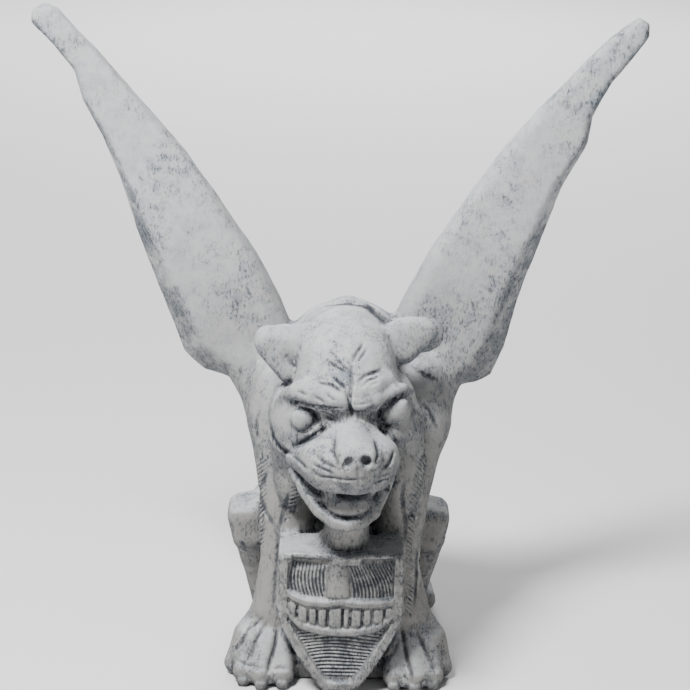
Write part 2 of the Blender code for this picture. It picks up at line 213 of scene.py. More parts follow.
def ridge_masses(clay):
    """The collar that arches behind the skull, the crest down the spine and the tail along the ground."""
    angles = np.linspace(0, pi, 9)
    clay.limb([(4 + 50 * cos(a), -24 - 4 * sin(a), 338 + 45 * sin(a), 10) for a in angles], blend=5)
    crest = [(4, 40, 360, 16), (3, 80, 316, 15), (2, 104, 258, 14), (1, 128, 190, 13), (0, 148, 120, 12)]
    clay.limb(crest, blend=9)
    turns = np.radians([100, 70, 42, 16, -6])
    clay.limb([(0, 140, 60, 20)] + [(98 * cos(a), 64 + 96 * sin(a), 17, 14) for a in turns], blend=8)


# A wing's edges, measured from its axis: distance along the axis, inner edge and outer edge
WING_STATIONS = {
    -1: (
        (-12, -40, 20), (4, -50, 40), (20, -55, 55), (48, -59, 64), (106, -62, 53), (190, -56, 39),
        (243, -51, 26), (297, -41, 18), (340, -33, 16), (372, -27, 7), (410, -18, 13), (438, -12, 20),
        (449, -4, 13),
    ),
    1: (
        (-8, -40, 32), (8, -54, 55), (24, -61, 65), (60, -65, 61), (110, -67, 45), (186, -63, 30),
        (242, -58, 19), (296, -49, 18), (325, -42, 6), (366, -34, 4), (400, -25, 9), (426, -15, 12),
        (439, -9, 5),
    ),
}
WING_ROOT = {-1: (-95, 40, 300), 1: (95, 40, 300)}
WING_TIP = {-1: (-318, 52, 675), 1: (310, 52, 675)}
WING_LENGTH = 436.0


def wing_mass(clay, side, root_thickness, tip_thickness):
    """A thick plain wing.

    Across its axis it is a slab with round edges, which are read from the stations. Its thickness falls
    evenly from root to tip, and swells by 9% at the middle of the slab. A bevel, 35 mm wide at the root
    and 3 mm at the tip, cuts its outer front edge."""
    stations = np.array(WING_STATIONS[side], np.float32)
    root, tip = (np.array(place[side], np.float32) for place in (WING_ROOT, WING_TIP))
    along = (tip - root) / np.linalg.norm(tip - root)
    forward = np.array((0, -1, 0), np.float32)
    forward = forward - (forward @ along) * along
    forward /= np.linalg.norm(forward)
    across = np.cross(along, forward) * side

    def distance(p):
        q = p - root
        s, a, n = q @ along, q @ across, q @ forward
        inner = np.interp(s, stations[:, 0], stations[:, 1])
        outer = np.interp(s, stations[:, 0], stations[:, 2])
        share = np.clip(s / WING_LENGTH, 0, 1)
        half = (root_thickness + (tip_thickness - root_thickness) * share) / 2
        swell = 1 + 0.09 * (1 - ((2 * a - inner - outer) / np.maximum(outer - inner, 1)) ** 2)
        thick = half * swell
        bevel = 32 * (1 - share) ** 1.6 + 3
        rim = (0.8 - 0.45 * share) * half
        qa = np.maximum(inner - a, a - outer) + rim
        qn = np.abs(n) - thick + rim
        slab = np.hypot(np.maximum(qa, 0), np.maximum(qn, 0)) + np.minimum(np.maximum(qa, qn), 0) - rim
        slope = np.hypot(bevel, 1.25 * half)
        front = ((a - (outer - bevel)) * 1.25 * half + (n - half) * bevel) / slope
        ends = np.maximum(stations[0, 0] - s, s - stations[-1, 0])
        body = -smooth_min(-slab, -front, 2.5)
        return -smooth_min(-body, -ends, 3.0).astype(np.float32)

    corners = np.array([root + along * s + across * a for s in (-14, 452) for a in (-70, 70)])
    clay.add(distance, corners.min(0) - 30, corners.max(0) + 30, 12.0)


HEAD_PLACE = (5, -105, 300)
HEAD_TURN = turning(0, 0, 5) @ turning(0, -3, 0)
SIGHT = HEAD_TURN.T @ np.array((0, cos(CAMERA_PITCH), -sin(CAMERA_PITCH)))
FACE_PLANE = -60.0
COAT_SIGHT = (0, cos(radians(22)), -sin(radians(22)))      # steeper, since the paws are low in the picture
COAT_PLANE = -100.0


def seen(x, z, depth, *radius):
    """A place in the head's own frame, given as it is seen: x and z on an upright plane through the
    cheeks, and how far along the head's Y it lies on that line of sight."""
    share = (depth - FACE_PLANE) / SIGHT[1]
    return (x + share * SIGHT[0], depth, z + share * SIGHT[2], *radius)


def seen_limb(clay, stops, blend):
    """A chain of tapers whose stops are given as they are seen."""
    clay.limb([seen(*stop) for stop in stops], blend=blend)


def head_masses(clay):
    """Skull, brows, cheeks, snout, nose and upper lip, in the head's own frame."""
    clay.ball((2, 10, 42), (51, 76, 42), tilt=(30, 0, 0), blend=14)
    clay.ball((0, 30, 0), (62, 62, 62), blend=16)
    clay.ball((-1, -16, 12), (62, 40, 38), blend=12)
    clay.ball((-62, 22, -30), (20, 34, 50), blend=10)
    clay.ball((58, 24, -28), (20, 34, 52), blend=12)
    clay.ball((-54, -8, -12), (24, 34, 32), blend=12)
    clay.ball((46, -8, -12), (20, 32, 32), blend=12)
    for blend, stops in (
        (7, ((-4, 24, -62, 6), (-18, 26, -60, 8), (-38, 33, -50, 9))),
        (7, ((-38, 33, -50, 9), (-55, 37, -36, 8), (-66, 36, -22, 6), (-73, 28, -6, 5))),
        (8, ((-10, 34, -54, 8), (-30, 41, -46, 9), (-50, 42, -32, 8))),
        (4, ((3, 21, -62, 5), (13, 21, -61, 6), (25, 25, -56, 6))),
        (4, ((25, 25, -56, 6), (41, 31, -46, 5.5), (54, 36, -32, 5), (61, 32, -14, 5))),
        (9, ((8, 33, -52, 9), (24, 40, -46, 10), (38, 42, -30, 8))),
        (4, ((-72, -4, -14, 11), (-66, -15, -24, 10.5))),
        (9, ((-56, -16, -32, 8), (-38, -12, -42, 8))),
        (9, ((54, -12, -20, 10), (42, -14, -40, 8))),
    ):
        seen_limb(clay, stops, blend)
    clay.limb([(0, -54, -7, 16), (-2, -84, -24, 25), (0, -94, -29, 27)], blend=10)
    clay.limb([(-12, -52, -12, 13), (-34, -66, -31, 20)], blend=12)
    clay.limb([(12, -52, -12, 13), (28, -64, -31, 18)], blend=12)
    clay.ball((-26, -78, -35), (27, 27, 23), blend=10)
    clay.ball((20, -78, -34), (23, 27, 23), blend=10)
    clay.limb([(-38, -70, -38, 16), (-51, -54, -36, 12), (-59, -42, -36, 8)], blend=8)
    clay.limb([(30, -66, -40, 15), (40, -52, -42, 10)], blend=8)
    clay.ball((3, -104, -17), (22, 18, 14), tilt=(-6, 0, 0), blend=7)
    clay.limb([(-8, -112, -20, 8.5), (3, -114, -18, 8), (13, -112, -19, 8.5)], blend=4)
    lip = ((-60, -36, -50, 5), (-47, -44, -70, 5.5), (-34, -58, -88, 5.5), (-18, -63, -97, 6))
    seen_limb(clay, lip + ((2, -66, -100, 6), (20, -65, -97, 6), (30, -62, -86, 5.5)), 5)
    seen_limb(clay, ((30, -62, -86, 5.5), (37, -54, -72, 5), (42, -48, -56, 5)), 5)
    seen_limb(clay, ((-60, -34, -44, 7), (-61, -48, -46, 5.5)), 5)


def jaw_masses(clay):
    """The hanging jaw: its round rim from corner to corner, the flesh inside it and the tongue."""
    rim = ((-61, -48, -50, 5), (-50, -71, -64, 5), (-37, -90, -75, 5.5), (-21, -103, -84, 6))
    seen_limb(clay, rim + ((-7, -107, -88, 6.5), (8, -104, -84, 6), (20, -95, -77, 5.5)), 3)
    seen_limb(clay, ((20, -95, -77, 5.5), (30, -79, -66, 5), (38, -60, -52, 5)), 3)
    clay.ball((-6, -46, -90), (36, 36, 15), tilt=(12, 0, 0), blend=6)
    clay.ball((-9, -38, -66), (48, 40, 32), blend=5)
    clay.ball((-6, -62, -79), (28, 27, 13), tilt=(10, 0, 0), blend=3)
    clay.ball((0, -16, -68), (46, 36, 42), blend=8)


def ear_masses(clay):
    """A blunt stub at the viewer's left and a folded leaf at the right."""
    clay.limb([(-42, 36, 55, 26), (-60, 33, 60, 22), (-76, 30, 67, 16)], blend=6)
    clay.limb([(-76, 26, 56, 11), (-58, 20, 36, 13)], blend=5)
    clay.ball((65, 31, 61), (35, 12, 22), tilt=(0, -12, 0), blend=4)
    clay.ball((85, 45, 59), (23, 9, 20), tilt=(0, -2, 0), blend=2)
    clay.limb([(44, 34, 46, 18), (66, 30, 46, 13)], blend=7)


def hollow_masses(clay):
    """Eye sockets, nostrils, the open mouth and the fold of the right ear, in the head's own frame."""
    clay.ball(seen(-48, 8, -52), (19, 18, 12), tilt=(0, 6, 0))
    clay.ball(seen(-28, 9, -62), (16, 15, 6), tilt=(0, 16, 0))
    clay.ball(seen(41, 12, -54), (19, 17, 9.5), tilt=(0, -34, 0))
    clay.ball(seen(26, 5, -62), (10, 12, 4.5), tilt=(0, -10, 0))
    clay.ball(seen(-4, -38, -124), (4.4, 12, 7.8), tilt=(-24, 34, 0))
    clay.ball(seen(13, -36, -123), (5.2, 12, 6.2), tilt=(-24, -34, 0))
    clay.ball(seen(1, -75.5, -84), (18.5, 40, 4.6))
    clay.ball((90, 36, 49), (19, 4, 15), tilt=(0, -30, 0))
    clay.ball(seen(-42, -66, -74), (16, 20, 7), tilt=(0, 42, 0))
    clay.ball(seen(32, -66, -70), (4, 16, 9), tilt=(0, -26, 0))


def eye_masses(clay):
    """Blank eyeballs and the lid under the left one, in the head's own frame."""
    clay.ball(seen(-50, 8.5, -37), (12.5, 12, 12), blend=1.2)
    clay.ball(seen(44, 12, -38), (17, 13.5, 12), tilt=(0, -38, 0), blend=1.2)
    seen_limb(clay, ((-64, 4, -28, 2.5), (-56, -5, -38, 3), (-45, -7, -42, 3), (-34, 0, -45, 2.5)), 4)


class Creases:
    """Grooves drawn as they are seen and pressed in along that sight.

    A place is carried along the sight to an upright plane. A groove's depth there is its full depth times
    the bell curve of the distance from the drawn line over the groove's width. Towards both ends it fades
    to a third, over 0.3 of the line or 14 mm, whichever is less. A strip of strokes along a line is the
    same bell curve times the upper half of a cosine, whose phase is the way along plus the slant times
    the way across, over the strokes' pitch. A sine of the stroke's number makes some strokes fainter than
    others."""

    def __init__(self, sight, plane, lines, strips=()):
        self.slide = np.array(sight, np.float32) / sight[1]
        self.plane = plane
        self.lines = [
            (np.array(line, np.float32), width, depth, strokes)
            for line, width, depth, *strokes in lines + strips
        ]

    def depth(self, points, plain=False):
        """The depth at each place. With plain set, the grooves' ends don't fade and the strips have no
        strokes."""
        flat = (points + (self.plane - points[:, 1])[:, None] * self.slide)[:, [0, 2]].astype(np.float32)
        found = np.zeros(len(points), np.float32)
        for line, width, full, strokes in self.lines:
            low, high = line.min(0) - 3 * width, line.max(0) + 3 * width
            near = np.flatnonzero(((flat > low) & (flat < high)).all(1))
            if not len(near):
                continue
            away = np.full(len(near), FAR, np.float32)
            across, way, done = np.zeros(len(near)), np.zeros(len(near)), 0.0
            for start, end in zip(line, line[1:]):
                along = end - start
                length = np.linalg.norm(along)
                offset = flat[near] - start
                t = np.clip((offset @ along) / length**2, 0, 1)
                gap = np.linalg.norm(offset - t[:, None] * along, axis=1)
                closer = gap < away
                away = np.where(closer, gap, away)
                across = np.where(closer, (along[0] * offset[:, 1] - along[1] * offset[:, 0]) / length, across)
                way = np.where(closer, done + t * length, way)
                done += length
            made = full * np.exp(-((away / width) ** 2))
            if not strokes and not plain:
                reach = np.minimum(0.3 * done, 14)
                made = made * ease(np.minimum(way, done - way), -0.6 * reach, reach)
            if strokes and not plain:
                pitch, slant = strokes
                phase = (way + slant * across) / pitch
                fade = 0.75 + 0.25 * np.sin(2.4 * np.floor(phase + 0.5) + line[0, 0])
                made = made * fade * np.maximum(np.cos(2 * pi * phase), 0)
            found[near] = np.maximum(found[near], made)
        return found


# Each groove in the face and the right ear: its line as x and z on the upright plane, its width and its depth
FACE_GROOVES = (
    (((1, 68), (1, 41), (-2, 19)), 2.5, 2.0),
    (((-20, 81), (-12, 71)), 1.7, 2.0),
    (((-23, 70), (-14, 63), (-1, 55)), 1.8, 2.6),
    (((-12, 69), (-2, 58)), 1.7, 2.4),
    (((15, 86), (2, 66)), 1.8, 2.6),
    (((19, 80), (8, 66)), 1.7, 2.2),
    (((32, 56), (15, 51), (6, 43)), 1.9, 2.4),
    (((31, 50), (18, 46), (11, 40)), 1.6, 2.0),
    (((29, 44), (20, 41)), 1.4, 1.5),
    (((-32, 47), (-17, 43), (-8, 35)), 1.9, 2.6),
    (((-16, 50), (-3, 38)), 1.8, 2.4),
    (((-53, 39), (-43, 34)), 1.7, 2.0),
    (((-36, 33), (-25, 25)), 1.8, 2.4),
    (((-24, 35), (-15, 27)), 1.7, 2.2),
    (((-60, 30), (-38, 24), (-15, 20), (-3, 20)), 1.6, 1.8),
    (((2, 22), (10, 22), (20, 23)), 1.6, 1.7),
    (((-3, 32), (0, 18), (2, 8)), 2.2, 2.9),
    (((27, 1), (36, -4), (48, 3), (56, 20)), 1.8, 2.4),
    (((28, 6), (35, 16), (46, 25), (56, 26)), 1.8, 2.2),
    (((-39, 17), (-36, 4), (-44, -5), (-56, -4)), 1.8, 2.0),
    (((-17, -12), (-19, -26), (-15, -38)), 2.0, 2.6),
    (((23, -17), (25, -31), (21, -41)), 2.0, 2.6),
    (((4, -36), (5, -50), (5, -62)), 2.0, 1.6),
    (((-24, -2), (-42, -12), (-60, -21)), 2.7, 3.0),
    (((-39, -26), (-27, -37), (-16, -43)), 1.7, 2.4),
    (((-41, -37), (-27, -44), (-19, -49)), 1.7, 2.4),
    (((-44, -41), (-34, -50), (-7, -54), (14, -54)), 1.9, 2.2),
    (((41, -30), (37, -41), (29, -47)), 1.9, 2.6),
    (((26, -24), (25, -36)), 1.6, 1.8),
    (((21, -56), (40, -50)), 1.3, 1.1),
    (((20, -60), (39, -56)), 1.3, 1.1),
    (((-82, 2), (-80, -12), (-71, -24), (-58, -28)), 2.5, 2.9),
    (((-62, -28), (-50, -38), (-44, -44)), 2.0, 2.0),
    (((97, 86), (88, 77), (75, 66), (64, 58)), 2.7, 4.4),
    (((99, 96), (90, 103)), 1.8, 2.2),
)

# Each toe: how far its bend and its tip are from the middle, how far front the tip is, and the toe's radius
TOES = ((62, 59, -141, 13.0), (78, 81, -144, 13.5), (92, 100, -135, 13.0), (101, 111, -114, 12.0))

# Each groove in the paws, legs, throat and crown, in the same way, on an upright plane through the shins
BODY_GROOVES = (
    (((-63, 48), (-64, 36), (-66, 24), (-68, 16), (-71, 4), (-72, -6)), 2.2, 2.7),
    (((-74, 53), (-80, 44), (-85, 34), (-89, 21), (-93, 8)), 2.1, 2.2),
    (((-79, 59), (-87, 50), (-95, 44), (-101, 29), (-108, 20)), 2.1, 2.2),
    (((-56, 42), (-49, 25), (-40, 12)), 2.6, 2.0),
    (((68, 54), (70, 43), (72, 29), (75, 14), (79, 1), (80, -13)), 2.2, 2.7),
    (((84, 50), (88, 40), (93, 27), (99, 15), (103, 6), (104, -5)), 2.2, 2.2),
    (((67, 39), (61, 24), (49, 9)), 2.6, 2.0),
    (((-66, 1), (-59, 3), (-52, 1)), 1.4, 1.4),
    (((-105, 9), (-93, 5), (-83, 3), (-77, 2)), 1.4, 1.4),
    (((68, -7), (72, -4), (76, -8)), 1.4, 1.4),
    (((88, -14), (91, -8), (98, -7)), 1.4, 1.4),
    (((-76, 227), (-87, 202), (-77, 178), (-66, 160)), 2.4, 1.8),
    (((-53, 203), (-59, 180), (-64, 160)), 2.4, 2.0),
    (((67, 218), (65, 200), (70, 169), (69, 145)), 2.6, 1.8),
    (((83, 143), (83, 108), (81, 71)), 2.0, 1.5),
    (((-66, 160), (-64, 150), (-66, 110), (-68, 70)), 2.2, 1.5),
    (((83, 310), (94, 297), (102, 277)), 3.0, 2.2),
    (((74, 350), (87, 340), (101, 335)), 2.6, 4.0),
    (((4, 156), (3, 135)), 1.6, 1.2),
    (((13, 160), (14, 134)), 1.6, 1.4),
    (((-8, 154), (-11, 136)), 1.6, 1.0),
    (((-84, 300), (-90, 284), (-88, 262)), 2.6, 1.4),
    (
        ((-51, 389), (-40, 406), (-31, 413), (-19, 417), (2, 418), (18, 417), (26, 413), (37, 404), (47, 395)),
        3.0, 4.0,
    ),
)

# Each strip of short strokes in the coat: its line, half width and depth, and the strokes' pitch and slant
BODY_STROKES = (
    (((-83, 240), (-84, 207), (-82, 176)), 5.5, 3.8, 5.0, 0.75),
    (((-86, 182), (-82, 166), (-83, 140)), 3.5, 2.4, 5.0, 0.75),
    (((86, 250), (84, 236), (80, 206), (76, 178)), 4.4, 3.8, 5.0, -0.75),
    (((76, 178), (74, 145), (76, 124), (77, 100), (75, 66)), 3.6, 3.8, 5.0, -0.75),
    (((-45, 213), (-49, 195), (-57, 172)), 4.5, 3.2, 4.8, 0.7),
    (((67, 214), (65, 196), (69, 172)), 3.5, 2.4, 4.8, -0.7),
    (((-105, 140), (-100, 124), (-93, 104)), 6.0, 2.4, 5.0, 1.0),
    (((101, 136), (98, 120), (92, 100)), 5.0, 2.2, 5.2, -1.0),
)


SHIELD_MIDDLE, SHIELD_FOOT = 3.0, 4.0
TOOTH_EDGES = (-54, -45, -33.5, -24, -13.5, 3, 10, 23, 33, 46, 55)


def shield_inset(x, z, sizes):
    """How far a place is inside the heater outline: straight sides above half the height, and below it
    sides that close in with the 0.8th power of the height, down to a blunt tip a quarter as wide."""
    up = np.clip(z / (0.5 * sizes.shield_height), 0, 1)
    half = sizes.shield_width / 2 * (0.24 + 0.76 * up**0.8)
    lean = np.where(z < 0.5 * sizes.shield_height, 0.84, 1.0)
    return np.minimum(np.minimum((half - np.abs(x)) * lean, sizes.shield_height - z), z)


def nose_half_width(z):
    """Half the width of the mask's nose, which widens downwards."""
    return 8.5 + 4.5 * np.clip((150 - z) / 46, 0, 1)


def band(x, z, line, width, height):
    """A ridge over a line given as x and z: its height times exp(-(d / width)^4), with d the upright
    distance."""
    line = np.array(line, float)
    away = (z - np.interp(x, line[:, 0], line[:, 1])) / width
    return height * np.exp(-(away**4))


UPPER_LIP = ((-57, 109), (-50, 104), (-36, 99), (-15, 98.5), (0, 101), (15, 98.5), (40, 98), (57, 100))
LOWER_LIP = ((-57, 92), (-52, 82), (-42, 72.5), (-20, 68), (0, 66.5), (20, 67.5), (40, 72), (51, 80), (57, 90))


def shield_relief(x, z, sizes):
    """How far the shield's front stands out of its panel at x and z.

    It is the largest of a flat border with a low brow along its top, a nose whose section is a half oval,
    lips as flat-topped ridges, and teeth as pillows: the root of the product of one less the 4th power of
    the share across and one less that of the share up. The eyes and the tool marks are taken off, and a
    drip of the throat is put on over the nose."""
    inset = shield_inset(x, z, sizes)
    inner = ease(inset, sizes.rim_width - 1.2, sizes.rim_width + 1.2)
    border = sizes.rim_relief * (1 - inner)

    lip_top = np.interp(x, *zip(*UPPER_LIP))
    lip_low = np.interp(x, *zip(*LOWER_LIP))
    inside = ease(inset, sizes.rim_width - 3, sizes.rim_width)
    lips = np.maximum(band(x, z, UPPER_LIP, 4.6, 6.0), band(x, z, LOWER_LIP, 4.6, 5.5)) * inside

    across = np.clip(np.abs(x + 2.5) / nose_half_width(z), 0, 1)
    nose = 5.5 * np.sqrt(1 - across**2) * ease(z, 102, 107) * (1 - 0.25 * ease(z, 128, 146))

    edges = np.array(TOOTH_EDGES, float)
    tooth = np.clip(np.searchsorted(edges, x) - 1, 0, len(edges) - 2)
    share = (2 * x - edges[tooth] - edges[tooth + 1]) / (edges[tooth + 1] - edges[tooth])
    rise = (2 * z - lip_top - lip_low + 1) / (lip_top - lip_low - 9)
    pillow = (1 - np.clip(np.abs(share) * 1.1, 0, 1) ** 4) * (1 - np.clip(np.abs(rise), 0, 1) ** 4)
    teeth = 5.4 * np.sqrt(pillow) * inside * (np.abs(x) < 56)

    scoop = eye_scoops(x, z)
    brow = 1.5 * np.exp(-(((z - 151) / 4.0) ** 2)) * (np.abs(x) > 9)
    point = np.clip((z - 126) / 26, 0, 1)
    drip = 3.0 * point * np.clip(1 - (x / (2 + 6 * point)) ** 2, 0, 1)
    marks = shield_marks(x, z, sizes) * (1 - ease(scoop, 0.02, 0.12))
    raised = np.maximum(np.maximum(border + brow * (1 - inner), nose * inner), np.maximum(lips, teeth))
    return raised * (1 - scoop) + drip * (z > 126) - 7.0 * scoop - 2.3 * marks


def eye_scoops(x, z):
    """The mask's eyes, 0 to 1: each is a ledge with a half oval edge. From the edge up, the depth grows
    evenly to its full value a little above the oval's middle, and then fades to a third near the top of
    the shield."""
    scoop = np.zeros_like(x)
    for middle, up, wide, tall, lean in ((-31, 141, 22, 9.0, 0.16), (38, 142, 19, 8.0, -0.06)):
        u, v = (x - middle) / wide, (z - up - lean * (x - middle)) / tall
        edge = np.sqrt(np.clip(1 - u * u, 0, 1))
        deep = np.clip((v + edge) / np.maximum(1.3 * edge, 0.05), 0, 1)
        scoop = np.maximum(scoop, deep * ease(1 - np.abs(u), 0, 0.2))
    return scoop * (1 - 0.66 * ease(z, 142, 150))


def shield_marks(x, z, sizes):
    """The tool marks, 0 to 1: a raised cosine of the distance across them over their pitch. They stand
    upright and bowed beside the nose, and lie level and slightly arched below the mouth."""
    inset, pitch = shield_inset(x, z, sizes), sizes.mark_pitch
    wander = 0.7 * np.sin(x / 9.1 + 1.3 * np.sin(z / 13.0)) + 0.5 * np.sin(z / 7.3 + x / 21.0)
    lip_top, lip_low = (np.interp(x, *zip(*line)) for line in (UPPER_LIP, LOWER_LIP))
    wing = nose_half_width(z)
    bow = x + np.where(x > 0, 0.0055 * (z - 103) ** 2 * (1 + x / 60), -0.008 * (z - 126) ** 2)
    upright = 0.5 + 0.5 * np.cos(2 * pi * (bow + 0.5 * wander) / pitch)
    beside = ease(np.abs(x + 2.5), wing + 0.5, wing + 2.5)
    upright *= beside * ease(z, lip_top + 4, lip_top + 7) * (1 - ease(z, 143, 147))
    level = 0.5 + 0.5 * np.cos(2 * pi * (z + 0.0035 * x * x + 0.8 * wander) / (1.08 * pitch))
    level *= 1 - ease(z, lip_low - 7.5, lip_low - 5)
    return (upright + level) * ease(inset, sizes.rim_width + 0.6, sizes.rim_width + 2.4)


def shield_mass(clay, sizes):
    """The shield: a heater-shaped slab with a bowed and carved face. The distance is the smooth largest
    of how far a place is outside the outline, in front of the face and behind the back."""

    def distance(p):
        x, z = p[:, 0] - SHIELD_MIDDLE, p[:, 2] - SHIELD_FOOT
        outside = -shield_inset(x, z, sizes)
        outside = np.maximum(outside, np.abs(z - sizes.shield_height / 2) - sizes.shield_height / 2)
        bow = 7.0 * (1 - (2 * x / sizes.shield_width) ** 2)
        front = (-152.0 - bow - shield_relief(x, z, sizes)) - p[:, 1]
        thick = np.maximum(front * 0.8, p[:, 1] + 97.0)
        return -smooth_min(-outside, -thick, 2.2).astype(np.float32)

    half = sizes.shield_width / 2
    low = (SHIELD_MIDDLE - half, -168, SHIELD_FOOT)
    clay.add(distance, low, (SHIELD_MIDDLE + half, -97, SHIELD_FOOT + sizes.shield_height), 2.5)


def claw_masses(clay, toes):
    """A short blunt claw at the tip of each toe but the outermost."""
    for side in SIDES:
        for _, tip, front, _ in toes[:3]:
            centre = (2 + side * tip, front - 8, 6.0)
            clay.block(centre, (6.4, 7.5, 6.0), tilt=(16, 0, 0), corner=4.4, blend=1.0)


def cleft_masses(clay):
    """The dark hollows beside the throat."""
    for side in SIDES:
        clay.ball((6 + side * 34, -118, 184), (10, 30, 20), tilt=(0, side * 14, 0))


class Stone:
    """The whole carved figure as one field."""

    def __init__(self, sizes):
        self.body, self.clefts, self.crisp = Clay(), Clay(), Clay()
        self.head, self.hollows, self.eyes = (Clay(HEAD_TURN, HEAD_PLACE) for _ in range(3))
        torso_masses(self.body)
        leg_masses(self.body, TOES)
        ridge_masses(self.body)
        for side in SIDES:
            wing_mass(self.body, side, sizes.wing_root, sizes.wing_tip)
        head_masses(self.head)
        jaw_masses(self.head)
        ear_masses(self.head)
        hollow_masses(self.hollows)
        eye_masses(self.eyes)
        cleft_masses(self.clefts)
        shield_mass(self.crisp, sizes)
        claw_masses(self.crisp, TOES)
        self.face = Creases(SIGHT, FACE_PLANE, FACE_GROOVES)
        self.coat = Creases(COAT_SIGHT, COAT_PLANE, BODY_GROOVES, BODY_STROKES)

    def grooves(self, points, plain=False):
        """How deep the grooves are: those of the face on the head's front, and the others on the body's."""
        local = self.head.local(points)
        deep = np.zeros(len(points), np.float32)
        ahead = (local[:, 1] < 36) & (local[:, 2] > -70)
        face = np.flatnonzero(ahead & (np.abs(local[:, 0]) < 110))
        if len(face):
            deep[face] = self.face.depth(local[face], plain) * ease(-local[face, 1], -36, -26)
        coat = np.flatnonzero((points[:, 1] < 20) & (points[:, 2] < 420) & ((local[:, 2] < -60) | ~ahead))
        if len(coat):
            deep[coat] = self.coat.depth(points[coat], plain)
        return deep

    def drawn(self, points, normals, sizes):
        """How much of a drawn groove or tool mark each corner lies in, 0 to 1, on the faces that look
        forwards."""
        x, z = points[:, 0] - SHIELD_MIDDLE, points[:, 2] - SHIELD_FOOT
        marks = shield_marks(x, z, sizes) * (points[:, 1] < -146) * (z < sizes.shield_height)
        marks = marks * (normals[:, 1] < -0.2)
        coat = (points[:, 1] > -125) & (points[:, 2] > 62) & (points[:, 2] < 250)
        deep = self.grooves(points.astype(np.float32)) / np.where(coat, 1.9, 3.4)
        off_eyes = ease(self.eyes.distance(points.astype(np.float32)), 0.3, 1.5)
        return np.clip(np.maximum(deep * off_eyes, 0.9 * marks), 0, 1)

    def distance(self, points):
        """The body melted with the head, carved, with the eyes and the shield set in, and cut flat at the
        ground."""
        points = points.astype(np.float32)
        found = smooth_min(self.body.distance(points), self.head.distance(points), 6.0)
        found = self.hollows.carve(points, found)
        found = self.clefts.carve(points, found, 2.0)
        near = np.flatnonzero(np.abs(found) < 12)
        found[near] += self.grooves(points[near]) + unevenness(points[near])
        found = self.eyes.distance(points, found)
        found = self.crisp.distance(points, found)
        return -smooth_min(-found, points[:, 2], GROUND_SOFTNESS)


def unevenness(points):
    """The slight waviness of stone worked by hand, in mm: a broad pattern and a small one, each the
    product of two sines whose phases are bent by slower sines."""
    x, y, z = points.T
    broad = np.sin(x / 19 + 1.7 * np.sin(z / 31)) * np.sin(z / 23 + 1.3 * np.sin(y / 27 + 1))
    small = np.sin(z / 7.1 + 1.9 * np.sin(x / 11.3)) * np.sin(x / 8.3 + y / 6.7 + 1.6 * np.sin(z / 13.7))
    return (0.45 * broad + 0.22 * small).astype(np.float32)


def surface_net(stone, low, high, cell):
    """A closed net of four-sided faces over the field's zero level.

    The field is read on a wide grid first, and on the fine one only near the stone. Each fine cell that
    the surface crosses gets one corner, the mean of the crossings on its edges, and each grid edge that
    the surface crosses gets one face, between the four cells round it."""
    wide = 4
    count = (np.ceil((high - low) / cell / wide) * wide).astype(int) + 1
    coarse = [low[k] + cell * wide * np.arange(count[k] // wide + 1) for k in range(3)]
    places = np.stack(np.meshgrid(*coarse, indexing="ij"), -1)
    rough = stone.distance(places.reshape(-1, 3)).reshape(places.shape[:3])
    values = np.where(rough < 0, -FAR, FAR).astype(np.float32)
    for axis in range(3):
        values = np.repeat(values, wide, axis)
    values = values[: count[0], : count[1], : count[2]]
    near = np.abs(rough) < cell * wide * 1.6
    blocks = near.copy()
    for axis in range(3):
        blocks |= np.roll(blocks, 1, axis) | np.roll(blocks, -1, axis)
    for axis in range(3):
        blocks = np.repeat(blocks, wide, axis)
    blocks = blocks[: count[0], : count[1], : count[2]]
    fine = [low[k] + cell * np.arange(count[k]) for k in range(3)]
    where = np.argwhere(blocks)
    points = np.stack([fine[k][where[:, k]] for k in range(3)], 1)
    values[tuple(where.T)] = stone.distance(points)
    values = well_joined(values)

    inside = values < 0
    corners = [(i, j, k) for i in (0, 1) for j in (0, 1) for k in (0, 1)]

    def corner(array, shift):
        return array[tuple(slice(s, n - 1 + s) for s, n in zip(shift, array.shape))]

    total = sum(corner(inside, shift).astype(np.int8) for shift in corners)
    cells = np.argwhere((total > 0) & (total < 8))
    number = np.full(tuple(n - 1 for n in values.shape), -1, np.int32)
    number[tuple(cells.T)] = np.arange(len(cells))
    sum_of, crossings = np.zeros((len(cells), 3)), np.zeros(len(cells))
    for a in corners:
        for axis in range(3):
            if a[axis]:
                continue
            b = tuple(1 if k == axis else a[k] for k in range(3))
            va, vb = values[tuple((cells + a).T)], values[tuple((cells + b).T)]
            crossed = (va < 0) != (vb < 0)
            share = np.where(crossed, va / np.where(crossed, va - vb, 1), 0)
            place = np.array(a, float) + share[:, None] * (np.array(b) - np.array(a))
            sum_of += np.where(crossed[:, None], place, 0)
            crossings += crossed
    net = low + cell * (cells + sum_of / crossings[:, None])

    faces = []
    for axis in range(3):
        u, v = (axis + 1) % 3, (axis + 2) % 3
        low_end = tuple(slice(0, n - 1) if k == axis else slice(1, n - 1) for k, n in enumerate(values.shape))
        high_end = tuple(slice(1, n) if k == axis else slice(1, n - 1) for k, n in enumerate(values.shape))
        crossed = inside[low_end] != inside[high_end]
        edge = np.argwhere(crossed)
        edge[:, u] += 1
        edge[:, v] += 1
        ring = []
        for du, dv in ((-1, -1), (0, -1), (0, 0), (-1, 0)):
            beside = edge.copy()
            beside[:, u] += du
            beside[:, v] += dv
            ring.append(number[tuple(beside.T)])
        ring = np.stack(ring, 1)
        leaving = inside[tuple(edge.T)]
        faces.append(np.where(leaving[:, None], ring, ring[:, ::-1]))
    return net, np.concatenate(faces)


